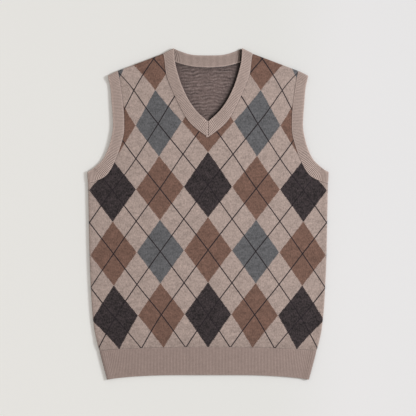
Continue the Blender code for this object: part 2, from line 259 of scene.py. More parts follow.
def by_level(levels, pairs):
    """Values at the rows' levels, in a straight line between (level, value) pairs."""
    return np.interp(levels, *zip(*pairs))


def row_levels(rows):
    """A level for each row: every stretch shared out evenly, and the last level."""
    runs = [np.linspace(a, b, n, endpoint=False) for a, b, n in rows]
    return np.append(np.concatenate(runs), YOKE_TOP)


def curl_profile():
    """Inset from the edge and drop of each step of the curl: a quarter turn, then upright."""
    angle = np.linspace(math.pi / 2, 0, CURL_STEPS)
    inset = np.append(PANEL_CURL * (1 - np.cos(angle)), 0.0)
    drop = np.append(PANEL_CURL * (1 - np.sin(angle)), FOLD)
    arc = np.append(PANEL_CURL * (math.pi / 2 - angle), PANEL_CURL * (math.pi / 2 - 1) + FOLD)
    return inset, drop, arc


CURL_INSET, CURL_DROP, CURL_ARC = curl_profile()


def path_up(levels, lower, upper, split, low_pairs, high_pairs):
    """Points up one curve to the split level, then up the next, and on over the shoulder."""
    rim = np.linspace(RIM_RUN, PANEL_CURL, RIM_ROWS, endpoint=False)[1:]
    return np.vstack([
        at(lower, by_level(levels[levels < split], low_pairs)),
        at(upper, by_level(levels[levels >= split], high_pairs)),
        at(upper, length(upper) - np.concatenate([rim, CURL_INSET])),
    ])


def outer_ends(levels):
    """The rows' ends on the side seam and the armhole, and the run from each up to the armhole."""
    side, arm = smooth(SIDE), smooth(ARM_SEAM)
    chest = run_lengths(arm)[np.argmin(np.abs(arm[:, 1] - NECK_SEAM[0][1] * MM))]
    up_side = [(HEM_LEVEL, 0), (ABOVE_HEM, HEM_RUN), (UNDERARM, length(side))]
    up_arm = [(UNDERARM, 0), (V_POINT, chest), (YOKE_TOP, length(arm) - RIM_RUN)]
    ends = path_up(levels, side, arm, UNDERARM, up_side, up_arm)
    return ends, length(side) - by_level(levels, up_side)


def inner_ends(levels, neck_seam, neck_level):
    """The rows' ends on the centre line and, from the neck's level up, on the neck seam."""
    neck, foot = smooth(neck_seam), HEM_SEAM[0][1] * MM
    centre = np.array([(0, foot), (0, neck[0, 1])])
    up_centre = [(HEM_LEVEL, 0), (ABOVE_HEM, HEM_RUN), (UNDERARM, UNDERARM_Y - foot)]
    up_centre.append((neck_level, neck[0, 1] - foot))
    up_neck = [(neck_level, 0), (YOKE_TOP, length(neck) - RIM_RUN)]
    return path_up(levels, centre, neck, neck_level, up_centre, up_neck)


def height_above(plan, curve):
    """How far each point lies above a curve, measured straight up the cloth."""
    return plan[..., 1] - np.interp(plan[..., 0], curve[:, 0], curve[:, 1])


def panel_plan(neck_seam, neck_level, row_runs):
    """Half a panel seen from above, (rows, columns, 2), and how far each row's end has curled.

    Rows run straight from the centre line, or the neck seam, to the side or armhole seam. The
    last columns take the curl's insets, which open out below the foot of the armhole. The
    lowest rows bow with the hem, by its height over a straight line from end to end.
    """
    levels = row_levels(row_runs)
    outer, below_armhole = outer_ends(levels)
    inner = inner_ends(levels, neck_seam, neck_level)
    past_top = (0, len(outer) - len(levels))
    curled = np.pad(1 - settle(below_armhole, CURL_FADE), past_top)
    width = np.linalg.norm(outer - inner, axis=1)[:, None]
    spread = PANEL_CURL * np.linspace(1, 0, len(CURL_INSET))
    inset = curled[:, None] * CURL_INSET + (1 - curled[:, None]) * spread
    flat = np.linspace(0, 1, COLUMNS, endpoint=False) * (1 - PANEL_CURL / width)
    share = np.hstack([flat, 1 - inset / width])
    plan = inner[:, None] + share[..., None] * (outer - inner)[:, None]
    hem = smooth(HEM_SEAM)
    bow = height_above(plan, hem[[0, -1]]) - height_above(plan, hem)
    fade = np.pad(np.clip(1 - levels / ABOVE_HEM, 0, 1), past_top)
    plan[..., 1] += bow * fade[:, None]
    return plan, curled


def curl_of(plan, curled, profile):
    """A curl's profile laid on a panel's last columns and last rows, the greater of the two."""
    grid = np.zeros(plan.shape[:2])
    grid[:, -len(profile) :] = curled[:, None] * profile
    grid[-len(profile) :] = np.maximum(grid[-len(profile) :], profile[:, None])
    return grid


def fold_line():
    """Points of the folds round half the vest: up its side, and along its shoulder."""
    shoulder = smooth([NECK_EDGE[-1], NECK_SEAM[-1], ARM_SEAM[-1], ARM_EDGE[-1]])
    side = smooth([HEM_EDGE[-1]] + SIDE + [ARM_EDGE[0]])
    return np.vstack([at(line, np.arange(0, length(line), 3 * MM)) for line in (side, shoulder)])


def distance_to(points, line):
    """Least distance from each point of a grid to a line of points."""
    nearest = np.full(points.shape[:-1], np.inf)
    for part in np.array_split(line, LINE_PARTS):
        away = np.linalg.norm(points[..., None, :] - part, axis=-1).min(axis=-1)
        nearest = np.minimum(nearest, away)
    return nearest


def from_line(points, outline_mm):
    """Least distance from each point of a grid to a smooth outline."""
    line = smooth(outline_mm)
    return distance_to(points, at(line, np.arange(0, length(line), LINE_STEP)))


def front_height(from_fold, above_hem):
    """Upper face of the front: raised beside the folds and puffed just above the hem band."""
    lift = (2 * FOLD - FRONT_TOP) * settle(from_fold - PANEL_CURL)
    puff = np.sin(math.pi * np.clip(above_hem / HEM_BLOUSE_RUN, 0, 1)) ** 2
    return FRONT_TOP + lift + HEM_BLOUSE * puff


def both_halves(grid, mirror=False):
    """The wearer's right half, columns reversed, beside the left half."""
    other = mirrored(grid) if mirror else grid
    return np.concatenate([other[:, ::-1], grid], axis=1)


def diamonds(x, y):
    """Diamond coordinates of points of the flat cloth: a diamond is 1 wide and 1 high.

    A column's number is x over the width at that height, drawn in towards the sides. A row's
    number is the height above the first centre, with the droop of its column added.
    """
    height, *drawn = smooth(DRAW).T
    width, *shares = (np.interp(y, height, values) for values in drawn)
    narrowing, droop, growth = (values / MM for values in shares)
    column = x / width
    column *= 1 + narrowing * (np.abs(column) - 1)
    away = np.abs(column)
    row = (y - FIRST_CENTRE + DROOP_UNIT * away * (droop + growth * away)) / DIAMOND_HEIGHT
    return np.stack([column, row], -1)


def panel_normals(points, joined_rows):
    """Unit normals of the two halves' grids, made one along the centre where they join."""
    half = points.shape[1] // 2
    normals = np.concatenate([
        unit(np.cross(np.gradient(side, axis=1), np.gradient(side, axis=0)))
        for side in (points[:, :half], points[:, half:])
    ], axis=1)
    middle = unit(normals[:joined_rows, half - 1] + normals[:joined_rows, half])
    normals[:joined_rows, half - 1] = normals[:joined_rows, half] = middle
    return normals


def edge_walk(number, joined_rows):
    """Vertex numbers once round a panel, with the cloth on the left."""
    half = number.shape[1] // 2
    walk = np.concatenate([
        number[0, :-1], number[:-1, -1], number[-1, : half - 1 : -1],
        number[: joined_rows - 2 : -1, half], number[joined_rows - 1 :, half - 1],
        number[-1, half - 1 :: -1], number[:0:-1, 0], number[:1, 0],
    ])
    return walk[np.append(True, np.diff(walk) != 0)]


def panel(name, upper, lower, flat, joined_rows, materials, tone):
    """Upper and lower skins of one panel, joined down the centre and closed round the edge.

    The materials are the upper skin's and the lower's, and the painted light is the upper skin's.
    """
    rows, columns = upper.shape[:2]
    half, offset = columns // 2, rows * columns
    number = np.arange(offset).reshape(rows, columns)
    number[:joined_rows, half] = number[:joined_rows, half - 1]
    skin = np.vstack([grid_faces(number[:, :half]), grid_faces(number[:, half:])])
    walk = edge_walk(number, joined_rows)
    edge = np.stack([walk[:-1], walk[:-1] + offset, walk[1:] + offset, walk[1:]], -1)
    faces = np.vstack([skin, skin[:, ::-1] + offset, edge])
    points = np.vstack([upper.reshape(-1, 3), lower.reshape(-1, 3)])
    stitches = diamonds(flat[..., 0], flat[..., 1]) * (DIAMOND_WALES, DIAMOND_COURSES)
    corner_uv = np.tile(stitches.reshape(-1, 2), (2, 1))[faces]
    face_material = np.repeat([0, 1, 0], [len(skin), len(skin), len(edge)])
    tone = np.concatenate([tone.ravel(), np.zeros(tone.size)])
    return new_piece(name, points, faces, corner_uv, materials, tone, face_material)


# ---- soft relief of the cloth

SEAM_DIP = 0.5 * MM  # how far a panel sinks beside a seam
SEAM_DIP_RUN = 3.0 * MM
HEM_DIP_SHARE = 0.3  # of that, over the hem
YOKE_DIP_SHARE, YOKE_DIP_RUN = 1.6, 2.4 * MM
CALM_RUN = 16 * MM  # creases die out this far from a fold
CREASE_END = 1.5  # how many half widths they take to fade beyond their ends
CREASES = [
    # from x, y to x, y, half width and rise, all in mm; a negative rise is a trough
    (-70, 262, -52, 196, 7, 0.45), (-88, 215, -30, 150, 9, -0.25),
    (74, 268, 48, 190, 8, 0.4), (96, 226, 40, 158, 10, -0.25),
    (-236, 52, -150, 76, 10, 0.55), (-226, 40, -160, 30, 12, -0.25),
    (238, 50, 140, 82, 11, 0.5), (222, 36, 166, 22, 12, -0.25),
    (-170, 285, -120, 250, 12, 0.3), (168, 290, 112, 240, 13, 0.3),
    (-236, -120, -196, -235, 14, 0.45), (238, -90, 202, -230, 15, 0.45),
    (-60, -262, -66, -215, 9, 0.35), (12, -262, 20, -208, 10, 0.3), (84, -262, 78, -220, 8, 0.35),
    (-130, -264, -138, -226, 9, 0.3), (150, -264, 160, -218, 10, 0.35),
    (-120, 20, 60, -40, 26, 0.35), (130, -60, -20, -120, 30, -0.2), (-60, 110, 90, 96, 22, -0.2),
]
PUCKER_RUN = 26 * MM
PUCKERS = [(17.0, 0.10, 0.3), (11.3, 0.07, 1.9), (7.1, 0.05, 4.1)]  # spacing, rise, phase
FLOAT_RISE = 0.16 * MM
FLOAT_EDGE = 0.5 * MM  # the ripples die out where the cloth's edge has curled up this far
# Waves of the loose yarns, a run being the mm to a radian. They sway by a height, with runs
# along x and up y, a swing and its run. The rows: share, run, how much they sway, and phase.
# What breaks them: the runs again, and the share of the rows' height that it takes.
FLOAT_SWAY = [(1.6, 4.3, math.inf, 1, 9), (2.2, 8.3, 17), (1, 19, -11)]
FLOAT_ROWS = [(1, 1.1, 1, 0), (0.6, 1.9, -0.8, 1.3)]
FLOAT_BREAKS, FLOAT_BROKEN = [(4.7, math.inf, 2, 7.3), (31, 5.1)], 0.4
NECK_SEAM_PAINTED_SHADE, ARM_SEAM_PAINTED_SHADE, SEAM_PAINTED_SHADE_RUN = 0.3, 0.1, 2.6 * MM  # painted shade beside a seam, where the cloth dips into a groove
HEM_PAINTED_SHADE, HEM_PAINTED_SHADE_RUN = 0.13, 25 * MM  # and painted shade over the hem, where the puffed cloth slopes down to it
SIDE_PAINTED_SHADE, SIDE_PAINTED_SHADE_RUN = 0.13, 14 * MM  # and painted shade down the side that turns from the window
# Shade on the inside of the back: close by and farther from the neck's free edge, below the
# back neck's seam, and where that seam touches it
DEEP_SHADE, DEEP_RUN = 0.96, 6.5 * MM
WIDE_SHADE, WIDE_RUN = 0.22, 15 * MM
YOKE_SHADE, YOKE_RUN = 0.22, 15 * MM
CONTACT_SHADE, CONTACT_RUN = 0.3, 3.5 * MM


def creases(x, y):
    """Sum of soft ridges: each a bell across its line, fading out beyond its ends."""
    height = np.zeros(x.shape)
    for x0, y0, x1, y1, half_width, rise in np.array(CREASES) * MM:
        run = math.hypot(x1 - x0, y1 - y0)
        ahead = ((x - x0) * (x1 - x0) + (y - y0) * (y1 - y0)) / run
        aside = ((x - x0) * (y1 - y0) - (y - y0) * (x1 - x0)) / run
        beyond = np.maximum(np.maximum(-ahead, ahead - run), 0)
        height += rise * bell(aside, half_width) * bell(beyond, CREASE_END * half_width)
    return height


def fading_up(above_hem, run):
    """1 at the hem's seam, falling off upwards as exp of minus the height over the run."""
    return np.exp(-np.clip(above_hem, 0, None) / run)


def hem_puckers(x, above_hem):
    """Small gathers over the hem band: three uneven waves along it, dying out upwards."""
    waves = sum(
        rise * np.sin(x / (pitch * MM) * 2 * math.pi + phase) for pitch, rise, phase in PUCKERS
    )
    return MM * waves * fading_up(above_hem, PUCKER_RUN)


def slant_wave(x, y, run_x, run_y, swing=0, swing_run=1):
    """The sine of x and y over their runs, swung to and fro by a sine up y."""
    return np.sin(x / run_x + y / run_y + swing * np.sin(y / swing_run))


def float_ripples(x, y):
    """Relief of the loose yarns inside: swaying rows of two spacings, broken along the cloth."""
    x, y = x / MM, y / MM
    bend = sum(height * slant_wave(x, y, *wave) for height, *wave in FLOAT_SWAY)
    rows = sum(
        share * np.sin((y + bent * bend) / run + phase) for share, run, bent, phase in FLOAT_ROWS
    )
    broken = math.prod(slant_wave(x, y, *wave) for wave in FLOAT_BREAKS)
    return FLOAT_RISE * rows * (1 - FLOAT_BROKEN + FLOAT_BROKEN * broken)


def seam_dip(plan, *seams, run=SEAM_DIP_RUN):
    """A soft groove beside the seams, deepest on them."""
    return SEAM_DIP * bell(np.min([from_line(plan, seam) for seam in seams], axis=0), run)


def edge_shade(from_edge, wearers_left):
    """Light kept beside the neck's free edge: little under the side that turns from the window."""
    deep = np.where(wearers_left, DEEP_SHADE * bell(from_edge, DEEP_RUN), 0)
    return (1 - deep) * (1 - WIDE_SHADE * bell(from_edge, WIDE_RUN))


def inside_painted_shade(plan, wearers_left):
    """Painted shade of the inside where the neckband closes over it, as a negative share."""
    edge, yoke = (both_halves(from_line(plan, line)) for line in (NECK_EDGE, BACK_SEAM))
    below_yoke = 1 - YOKE_SHADE * bell(yoke, YOKE_RUN)
    touching = 1 - CONTACT_SHADE * bell(yoke, CONTACT_RUN)
    return edge_shade(edge, wearers_left) * below_yoke * touching - 1


def front_painted_shade(plan, above_hem, wearers_left):
    """Painted shade of the front, beside its seams, over the hem and down its shaded side."""
    arm, neck, side = (
        1 - depth * bell(from_line(plan, line), run)
        for depth, line, run in (
            (ARM_SEAM_PAINTED_SHADE, ARM_SEAM, SEAM_PAINTED_SHADE_RUN), (NECK_SEAM_PAINTED_SHADE, NECK_SEAM, SEAM_PAINTED_SHADE_RUN),
            (SIDE_PAINTED_SHADE, SIDE, SIDE_PAINTED_SHADE_RUN),
        )
    )
    light = arm * (1 - HEM_PAINTED_SHADE * fading_up(above_hem, HEM_PAINTED_SHADE_RUN))
    return both_halves(light) * np.where(wearers_left, 1, both_halves(neck * side)) - 1


def flat_cloth(plan, curled):
    """Where each point of a whole panel lies before its edges curl: its arc laid straight."""
    excess = CURL_ARC - (PANEL_CURL - CURL_INSET)
    flat = plan.copy()
    flat[:, -len(excess) :, 0] += curled[:, None] * excess
    flat[-len(excess) :, :, 1] += excess[:, None]
    return both_halves(flat, mirror=True)


def joined_rows(rows, neck_level):
    """Number of rows from the hem up to the neck's level, where the two halves are one."""
    return int(np.argmax(row_levels(rows) == neck_level)) + 1


def front_knit(outside, inside):
    """The front: its upper face by height, and its lower one the cloth's thickness beneath."""
    plan, curled = panel_plan(NECK_SEAM, V_POINT, FRONT_ROWS)
    above_hem = height_above(plan, smooth(HEM_SEAM))
    from_fold = distance_to(plan, fold_line())
    height = front_height(from_fold, above_hem) - curl_of(plan, curled, CURL_DROP)
    height -= seam_dip(plan, NECK_SEAM, ARM_SEAM) + HEM_DIP_SHARE * seam_dip(plan, HEM_SEAM)
    calm = both_halves(1 - settle(from_fold - PANEL_CURL, CALM_RUN))
    whole = both_halves(plan, mirror=True)
    x, y = whole[..., 0], whole[..., 1]
    soft = creases(x, y) + hem_puckers(x, both_halves(above_hem))
    upper = np.dstack([whole, both_halves(height) + calm * soft])
    one_piece = joined_rows(FRONT_ROWS, V_POINT)
    lower = upper - WALL * panel_normals(upper, one_piece)
    flat, tone = flat_cloth(plan, curled), front_painted_shade(plan, above_hem, x > 0)
    piece = panel("front_knit", upper, lower, flat, one_piece, [outside, inside], tone)
    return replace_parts(piece, "front_panel")


def back_knit(outside, inside):
    """The back: its lower face lies flat, and the loose yarns ripple its upper one."""
    plan, curled = panel_plan(BACK_SEAM, BACK_NECK, BACK_ROWS)
    whole = both_halves(plan, mirror=True)
    x, y = whole[..., 0], whole[..., 1]
    height = both_halves(curl_of(plan, curled, CURL_DROP))
    lower = np.dstack([whole, height])
    one_piece = joined_rows(BACK_ROWS, BACK_NECK)
    relief = float_ripples(x, y) * bell(height, FLOAT_EDGE)
    relief -= YOKE_DIP_SHARE * both_halves(seam_dip(plan, BACK_SEAM, run=YOKE_DIP_RUN))
    upper = lower + (WALL + relief)[..., None] * panel_normals(lower, one_piece)
    flat, tone = flat_cloth(plan, curled), inside_painted_shade(plan, x > 0)
    piece = panel("back_knit", upper, lower, flat, one_piece, [inside, outside], tone)
    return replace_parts(piece, "back_panel")


# ---- ribbed bands

STEPS = COLUMNS_PER_RIB // 2  # columns in half a rib
FOLD_COLUMNS, SIDE_COLUMNS = 8 * STEPS, 4 * STEPS  # round a fold, and down the hem's side
SEAM_GROOVE, GROOVE_RUN = 0.3 * MM, 1.7 * MM  # the band sinks this far beside the linking
MITRE_GROOVE, MITRE_GROOVE_RUN = 0.9 * MM, 1.6 * MM
# The cast-off row stands up a little inside the free edge, and a painted highlight makes it paler
EDGE_ROLL, EDGE_ROLL_AT, EDGE_ROLL_RUN = 0.4 * MM, 1.4 * MM, 0.9 * MM
CAST_OFF_HIGHLIGHT, CAST_OFF_HIGHLIGHT_AT, CAST_OFF_HIGHLIGHT_RUN = 0.28, 1.8 * MM, 1.3 * MM
OPEN_VALLEY_SHADE = 0.6  # painted shade: how much darker the valleys are than the crests where ribs are drawn open
RIB_MEAN = 0.6  # mean of the ribs' profile, so that opened ribs are no paler than closed ones
CLOSED_SHARE = 0.35  # share of that contrast on the straight stretches
YOKE_SHARE = 1.3  # and at the back of the neck
UNDER_FROM, UNDER_BY = 0.5, 0.9  # shares of a fold between which a band's underside begins
ALL_UNDER = 0.99  # share at which a column counts as beneath
YOKE_CALM_RUN = 34 * MM  # over which the back neck's ribs flatten towards the shoulders
# Share of the ribs' relief that the hem keeps, and that left at its sides
HEM_RIBS, HEM_SIDE_RIBS, HEM_CALM_RUN = 0.42, 0.1, 60 * MM
HEM_CAST_OFF_HIGHLIGHT = 0.3  # share of a cast-off row's painted highlight that the hem has
V_OPEN = (1.4, 95 * MM, 130 * MM)  # share of it at the V, and how far along that lasts
UNDERARM_OPEN = (2.0, 75 * MM, 100 * MM)  # the same along the armhole from the underarm
UNDERARM_CALM, UNDERARM_CALM_RUN = 0.8, 45 * MM  # how much of it goes again at the side fold
YOKE_PAINTED_SHADE = (-0.04, -0.12)  # painted shade of the back neck, at its seam and at its free edge
ARM_LIFT = 1.8 * MM  # how far the armhole's free edge stands off the cloth beneath it
NECK_LIFT, V_LIFT = 2.1 * MM, 1.4 * MM  # the same for the neck's, and at the point of the V
LIFT_RUN = 60 * MM  # along the edge, from the one to the other
BACK_TAKE_UP, HEM_TAKE_UP = 16, 8  # powers that send a longer seam's spare length to its end
HUMP, RIB_ROUND, BULGE = 1.5, 1.3, 0.6  # powers of sines, and how many stitches an edge bulges
MOST_MARGIN = 0.3  # share of a band's width that its edge's rounding may take
MITRE_START = 1.2 * MM
MITRE_FOOT = 19.4 * MM  # on the neck seam, square across from the top of the mitre
COURSE = 1.45 * MM
RUN_ON = 40 * MM  # how far an edge is run on past its ends
LEAD = 45 * MM  # over which the ribs turn from square to the slant of the band's end
SQUARE_WINDOW = 31  # columns over which a run of lengths is evened out


def turn(top, under, radius, angles, depth):
    """Points round a fold on which both curves end: 0 is its top and pi its underside.

    The arc has the fold's radius less the depth. Its inset is measured back from the curves'
    ends, and from a quarter to three quarters of the way round it slides from top to under.
    """
    reach = radius - depth
    inset = radius - reach * np.sin(angles)
    share = settle(math.pi * 0.75 - angles, math.pi / 2)[:, None]
    plan = (1 - share) * at(top, length(top) - inset) + share * at(under, length(under) - inset)
    return np.column_stack([plan, radius + reach * np.cos(angles)])


FOLD_ANGLES = math.pi * np.arange(1, FOLD_COLUMNS) / FOLD_COLUMNS


def half_ribs_along(*curves):
    """An even number of half ribs along a band's middle."""
    return 2 * round(sum(length(c) for c in curves) / len(curves) / RIB_PITCH)


def evened(values):
    """Each value replaced by the mean of its neighbours, weighted by a raised cosine."""
    weights = np.hanning(SQUARE_WINDOW + 2)[1:-1]
    padded = np.pad(values, SQUARE_WINDOW // 2, "reflect", reflect_type="odd")
    return np.convolve(padded, weights / weights.sum(), "valid")


def square_across(seam, edge, seam_along, first, last):
    """Lengths along the edge straight across from the seam's, led to a first and a last one."""
    beyond = np.arange(MM, RUN_ON, MM)
    start, end = at(edge[::-1], length(edge) + beyond)[::-1], at(edge, length(edge) + beyond)
    places = np.concatenate([-beyond[::-1], run_lengths(edge), length(edge) + beyond])
    gaps = np.linalg.norm(at(seam, seam_along)[:, None] - np.vstack([start, edge, end]), axis=-1)
    feet = evened(places[gaps.argmin(axis=1)])
    early = (first - feet[0]) * settle(seam_along - seam_along[0], LEAD)
    late = (last - feet[-1]) * settle(seam_along[-1] - seam_along, LEAD)
    return feet + early + late


def evenly_spaced(seam_along, edge_along):
    """The same lengths taken again so that the ribs are even along the band's middle."""
    middle = (seam_along + edge_along) / 2
    even = np.linspace(middle[0], middle[-1], len(middle))
    return np.interp(even, middle, seam_along), np.interp(even, middle, edge_along)


def raised(curve, along, rise, depth):
    """Points of a line on the front, this far above the flat cloth or inside its thickness."""
    return np.column_stack([at(curve, along), FRONT_TOP + rise - depth])


def lying(curve, along, depth):
    """Points of a line beneath, this far above the surface that the vest lies on."""
    return np.column_stack([at(curve, along), np.full(len(along), depth)])


def four_lines(line, *columns):
    """A band's seam and edge lines on its outer face, then its inner: (2, 2, columns, 3)."""
    return np.array([[line(*values, depth) for values in zip(*columns)] for depth in (0, WALL)])


def across(seam, edge, rows):
    """Rows of points from the seam to the free edge, short of both by the edge's rounding."""
    width = np.linalg.norm(edge - seam, axis=1)[:, None]
    margin = np.minimum(EDGE_ROUND / width, MOST_MARGIN)
    share = margin + (1 - 2 * margin) * np.linspace(0, 1, rows)
    return seam[:, None] + share[..., None] * (edge - seam)[:, None], share, width


def two_faces(lines, rows):
    """A band's outer and inner faces, the shares of the way across, and the width."""
    outer, share, width = across(*lines[0], rows)
    return outer, across(*lines[1], rows)[0], share, width


def rib_profile(columns):
    """0 in the purl columns and 1 on the knit ones: a sine's height, raised to a power."""
    return np.abs(np.sin(math.pi * np.arange(columns) / COLUMNS_PER_RIB)) ** RIB_ROUND


def eased(columns, first, last):
    """0 before the first column, 1 after the last, half a cosine wave between."""
    return 1 - settle((np.arange(columns) - first) / (last - first), 1)


def upright(*values):
    """Each value stood up as one column, to go with the rows across a band."""
    return (np.reshape(value, (-1, 1)) for value in values)


def turned_under(columns, start, begun=UNDER_FROM, whole=UNDER_BY):
    """0 before a fold that starts at a column and 1 past it, easing between two shares of it."""
    return eased(columns, start + begun * FOLD_COLUMNS, start + whole * FOLD_COLUMNS)


def rounded_edge(start, end, outward):
    """Points of half an ellipse from one face's edge to the other's."""
    angle = math.pi * np.arange(1, EDGE_STEPS + 1) / (EDGE_STEPS + 1)
    centre, half = (start + end) / 2, (start - end) / 2
    swing = np.cos(angle)[:, None] * half[:, None]
    return centre[:, None] + swing + EDGE_ROUND * np.sin(angle)[:, None] * outward[:, None]


def band_section(outer, inner):
    """One closed loop for each column: outer face, free edge, inner face back, seam edge."""
    free = rounded_edge(outer[:, -1], inner[:, -1], unit(outer[:, -1] - outer[:, -2]))
    sewn = rounded_edge(inner[:, 0], outer[:, 0], unit(outer[:, 0] - outer[:, 1]))
    return np.concatenate([outer, free, inner[:, ::-1], sewn], axis=1)


def band_uv(stitch, ring=False):
    """Rib number along the band, and stitch number across it, once round each section."""
    if ring:
        stitch = np.vstack([stitch, stitch[:1]])
    first, last = stitch[:, :1], stitch[:, -1:]
    bulge = BULGE * np.sin(math.pi * np.arange(1, EDGE_STEPS + 1) / (EDGE_STEPS + 1))
    loop = np.hstack([stitch, last + bulge, stitch[:, ::-1], first - bulge, first])
    rib = np.arange(len(stitch))[:, None] / COLUMNS_PER_RIB
    return np.stack(np.broadcast_arrays(rib, loop), -1)


def dress(outer, inner, share, width, on_top, beneath, inner_ribs, cast_off=1.0, relief=1.0):
    """Ribs, seam groove and cast-off row, laid on a plain band along its own thickness.

    Where nothing is cast off the band ends on a mitre, and sinks into a groove there. The
    relief is the share of the ribs' height that each column keeps.
    """
    outwards = unit(outer - inner)
    rib = rib_profile(len(outer))[:, None]
    on_top, beneath, inner_ribs = upright(on_top, beneath, inner_ribs)
    cast_off, relief = upright(cast_off, relief)
    from_seam, from_edge = share * width, (1 - share) * width
    sewn = bell(from_seam, GROOVE_RUN)
    ribs = (RIB_RAISE * rib - RIB_SINK * (1 - rib)) * (1 - sewn) * relief
    carved = (RIB_RAISE + RIB_SINK) * (1 - rib) * (1 - sewn)
    roll = cast_off * EDGE_ROLL * bell(from_edge - EDGE_ROLL_AT, EDGE_ROLL_RUN)
    roll -= (1 - cast_off) * MITRE_GROOVE * bell(from_edge, MITRE_GROOVE_RUN)
    crown = BAND_CROWN * 4 * share * (1 - share)
    outer_move = on_top * (ribs - SEAM_GROOVE * sewn + roll + crown) - beneath * carved
    inner_move = inner_ribs * (ribs + roll)
    return outer + outer_move[..., None] * outwards, inner - inner_move[..., None] * outwards


def round_section(across_band):
    """Values across a band, laid once round it: outer face, free edge, back, seam edge."""
    last, first = (np.repeat(across_band[:, [k]], EDGE_STEPS, axis=1) for k in (-1, 0))
    return np.hstack([across_band, last, across_band[:, ::-1], first])


def band_painted_light(share, width, opened=0.0, cast_off=1.0, seam_painted_shade=0.0, edge_painted_shade=0.0):
    """Painted highlight at a band's cast-off row, painted shade in the valleys of opened ribs.

    The seam's and the edge's own painted shades are mixed by the share of the way across.
    """
    opened, cast_off, seam_painted_shade, edge_painted_shade = upright(opened, cast_off, seam_painted_shade, edge_painted_shade)
    crest = rib_profile(len(share))[:, None] - RIB_MEAN
    bound = bell((1 - share) * width - CAST_OFF_HIGHLIGHT_AT, CAST_OFF_HIGHLIGHT_RUN)
    mixed = seam_painted_shade + (edge_painted_shade - seam_painted_shade) * share
    return cast_off * CAST_OFF_HIGHLIGHT * bound + mixed + opened * OPEN_VALLEY_SHADE * crest


def opening(along, most, full, done):
    """How far ribs are drawn open: most up to one length, then less, down to the usual."""
    return CLOSED_SHARE + (most - CLOSED_SHARE) * settle(along - full, done - full)


def joined(other, half):
    """Another half turned round, then this one: they share their first column."""
    return np.concatenate([other[:0:-1], half])


def whole_band(name, outer, inner, stitch, painted_lights, material):
    """A half band that starts at its middle, joined there to its mirror image.

    The painted lights are the mirror image's and the half's own.
    """
    half = band_section(outer, inner)
    uv, tone = band_uv(joined(stitch, stitch)), round_section(joined(*painted_lights))
    return tube(name, joined(mirrored(half), half), uv, tone, material)


def neck_outlines():
    """Seam and free edge of the front, kept off the centre line, and of the back, from it."""
    fronts = [beside(smooth(NECK_SEAM), SEAM_GAP), smooth(NECK_EDGE)]
    backs = [beside(smooth(BACK_SEAM), SEAM_GAP), smooth(BACK_EDGE)]
    for front, back in zip(fronts, backs):
        front[:, 0] = np.maximum(front[:, 0], SEAM_GAP / 2)
        back[0, 0] = 0
    return fronts, backs


def neck_columns(seam, free, mitre_run, count):
    """Lengths along the seam and the edge at which the front's columns lie.

    The edge starts with the mitre's own line, up which the first columns share the run out.
    """
    seam_along = np.linspace(MITRE_START / 2, length(seam) - FOLD, count + 1)
    edge_along = mitre_run * (seam_along - seam_along[0]) / (MITRE_FOOT - seam_along[0])
    past = seam_along > MITRE_FOOT
    square = square_across(seam, free, seam_along[past], 0, length(free) - NECK_FOLD)
    edge_along[past] = mitre_run + square
    return seam_along, edge_along


def half_neckband():
    """Seam and edge lines of half the neckband, from the mitre to the middle of the back.

    Its ribs stand square to its edges, so beside the mitre they end on it: there the free
    edge's place is taken by the mitre's own line. It also gives the front's columns.
    """
    (seam, free), unders = neck_outlines()
    mitre_run = free[0, 1] - seam[0, 1] - MITRE_START
    edge = np.vstack([(SEAM_GAP / 2, seam[0, 1] + MITRE_START), free])
    front, back = half_ribs_along(seam) * STEPS, half_ribs_along(*unders) * STEPS
    # The ribs stand upright along the back, so the longer seam takes them up at its ends.
    reach, ahead = length(unders[1]) - NECK_FOLD, np.linspace(1, 0, back + 1)

    def line(top, under, radius, run, lifted, along, depth):
        near_fold = settle(along[-1] - along, run)
        loft = V_LIFT + (NECK_LIFT - V_LIFT) * settle(mitre_run + LIFT_RUN - along, LIFT_RUN)
        rise = (2 * radius - FRONT_TOP) * near_fold
        rise += lifted * loft * (1 - settle(along, mitre_run)) * (1 - near_fold)
        back_along = reach * ahead + (length(under) - radius - reach) * ahead**BACK_TAKE_UP
        bend = turn(top, under, radius, FOLD_ANGLES, depth)
        return np.vstack([raised(top, along, rise, depth), bend, lying(under, back_along, depth)])

    alongs = neck_columns(seam, free, mitre_run, front)
    radii, runs = (FOLD, NECK_FOLD), (SETTLE, NECK_SETTLE)
    return four_lines(line, (seam, edge), unders, radii, runs, (0, 1), alongs), front


def neck_rib(lines, front, material):
    """The neckband: ribbed above on the front and beneath round the back, with a mitre."""
    outer, inner, share, width = two_faces(lines, BAND_ROWS)
    columns, seam_run = len(outer), length(smooth(NECK_SEAM))
    under = turned_under(columns, front)
    mitre_columns = front * MITRE_FOOT / seam_run
    cast_off = eased(columns, mitre_columns, mitre_columns + COLUMNS_PER_RIB)
    on_yoke = inner[..., :2]
    from_shoulder = np.linalg.norm(on_yoke - on_yoke[front + FOLD_COLUMNS], axis=-1)[:, 0]
    calm = 1 - under * bell(from_shoulder, YOKE_CALM_RUN)
    outer, inner = dress(outer, inner, share, width, 1 - under, under, under, cast_off, calm)
    opened = opening(np.arange(columns) * seam_run / front, *V_OPEN) * (1 - under)
    opened += YOKE_SHARE * under * calm
    tone = band_painted_light(share, width, opened, cast_off, YOKE_PAINTED_SHADE[0] * under, YOKE_PAINTED_SHADE[1] * under)
    from_edge, inside = from_line(on_yoke, NECK_EDGE), under[:, None] > ALL_UNDER
    lights = [np.where(inside, edge_shade(from_edge, left), 1) for left in (False, True)]
    painted_lights = [((1 + tone) * light - 1)[::-1] for light in lights]
    stitch = share * width / COURSE
    piece = whole_band("neck_rib", outer[::-1], inner[::-1], stitch[::-1], painted_lights, material)
    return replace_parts(piece, "neckband")


